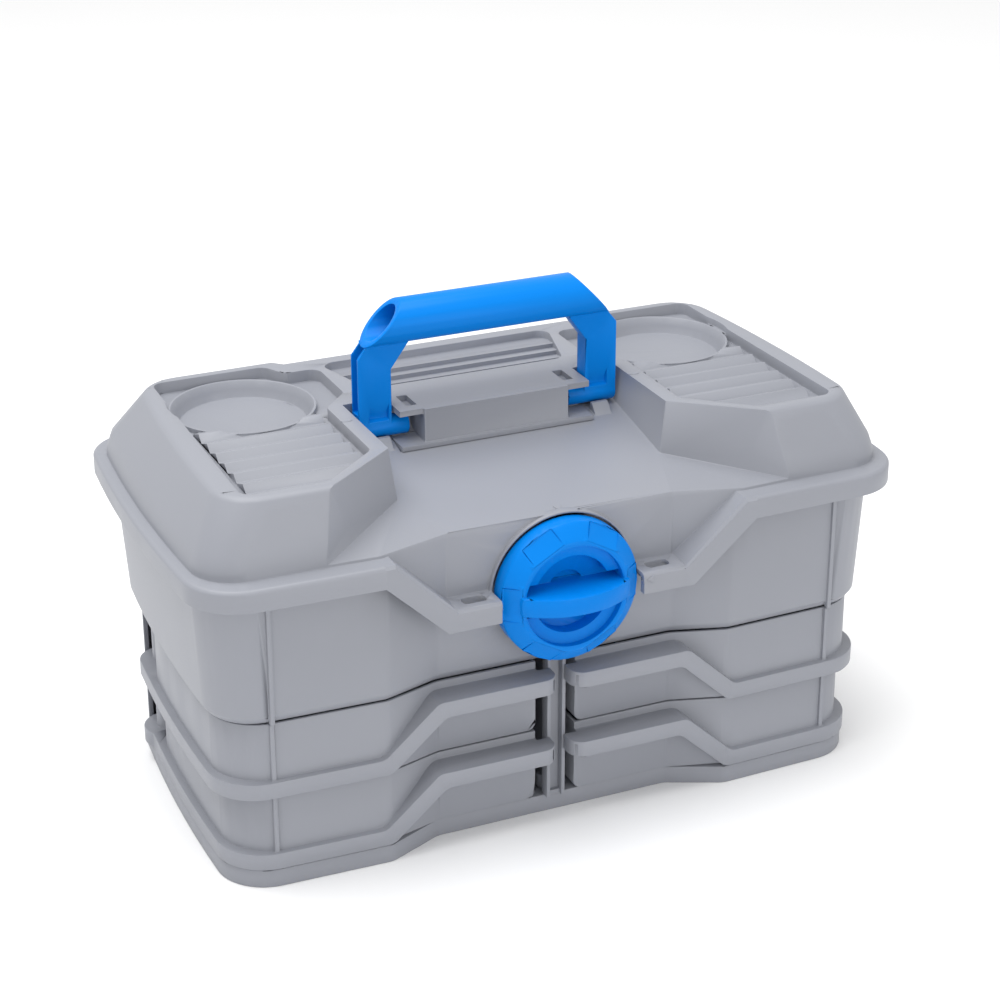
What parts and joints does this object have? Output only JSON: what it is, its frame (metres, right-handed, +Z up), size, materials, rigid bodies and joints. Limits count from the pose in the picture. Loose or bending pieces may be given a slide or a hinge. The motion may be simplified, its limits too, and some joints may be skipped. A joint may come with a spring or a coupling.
{
  "type": "tackle box with swing-out drawers",
  "caption": "Portable tackle box with a hip-roof lid, folding carry handle, turn-knob latch, upper bin and swing-out drawers on a low base.",
  "frame": {"origin": "middle of the footprint of the whole box, on the floor under the base", "axes": "+X to the right along the front, +Y to the rear, +Z up"},
  "size_m": [0.4394, 0.2652, 0.2976],
  "materials": {
    "grey_plastic": "fine satin, light grey",
    "blue_plastic": "satin gloss, azure blue",
    "steel": "zinc plated"
  },
  "bodies": {
    "box": {"base_tray": "grey_plastic", "body_tub": "grey_plastic", "centre_column": "grey_plastic", "left_hinge_rod": "steel", "right_hinge_rod": "steel", "rod_caps": "steel", "base_screws": "steel", "lid_hinge_pins": "steel"},
    "lid_body": {"lid": "grey_plastic"},
    "handle": {"carry_handle": "blue_plastic"},
    "knob": {"latch_knob": "blue_plastic", "latch_cam": "grey_plastic", "latch_screw": "steel", "latch_washer": "steel"},
    "upper_left": {"upper_left_drawer": "grey_plastic", "upper_left_dividers": "grey_plastic"},
    "upper_right": {"upper_right_drawer": "grey_plastic", "upper_right_dividers": "grey_plastic"},
    "lower_left": {"lower_left_drawer": "grey_plastic", "lower_left_dividers": "grey_plastic"},
    "lower_right": {"lower_right_drawer": "grey_plastic", "lower_right_dividers": "grey_plastic"}
  },
  "joints": [
    {"name": "lid_hinge", "type": "hinge", "parent": "box", "child": "lid_body", "pos_m": [0, 0.1272, 0.1746], "axis": [-1, 0, 0], "range_deg": [0, 100]},
    {"name": "handle_fold", "type": "hinge", "parent": "lid_body", "child": "handle", "pos_m": [0, 0.0036, 0.2215], "axis": [1, 0, 0], "range_deg": [0, 90]},
    {"name": "knob_turn", "type": "hinge", "parent": "box", "child": "knob", "pos_m": [0, -0.1018, 0.1525], "axis": [0, -1, 0], "range_deg": [0, 90]},
    {"name": "upper_left_swing", "type": "hinge", "parent": "box", "child": "upper_left", "pos_m": [-0.187, 0.0646, 0.0776], "axis": [0, 0, -1], "range_deg": [0, 90]},
    {"name": "upper_right_swing", "type": "hinge", "parent": "box", "child": "upper_right", "pos_m": [0.187, 0.0646, 0.0776], "axis": [0, 0, 1], "range_deg": [0, 90]},
    {"name": "lower_left_swing", "type": "hinge", "parent": "box", "child": "lower_left", "pos_m": [-0.187, 0.0646, 0.032], "axis": [0, 0, -1], "range_deg": [0, 90]},
    {"name": "lower_right_swing", "type": "hinge", "parent": "box", "child": "lower_right", "pos_m": [0.187, 0.0646, 0.032], "axis": [0, 0, 1], "range_deg": [0, 90]}
  ]
}
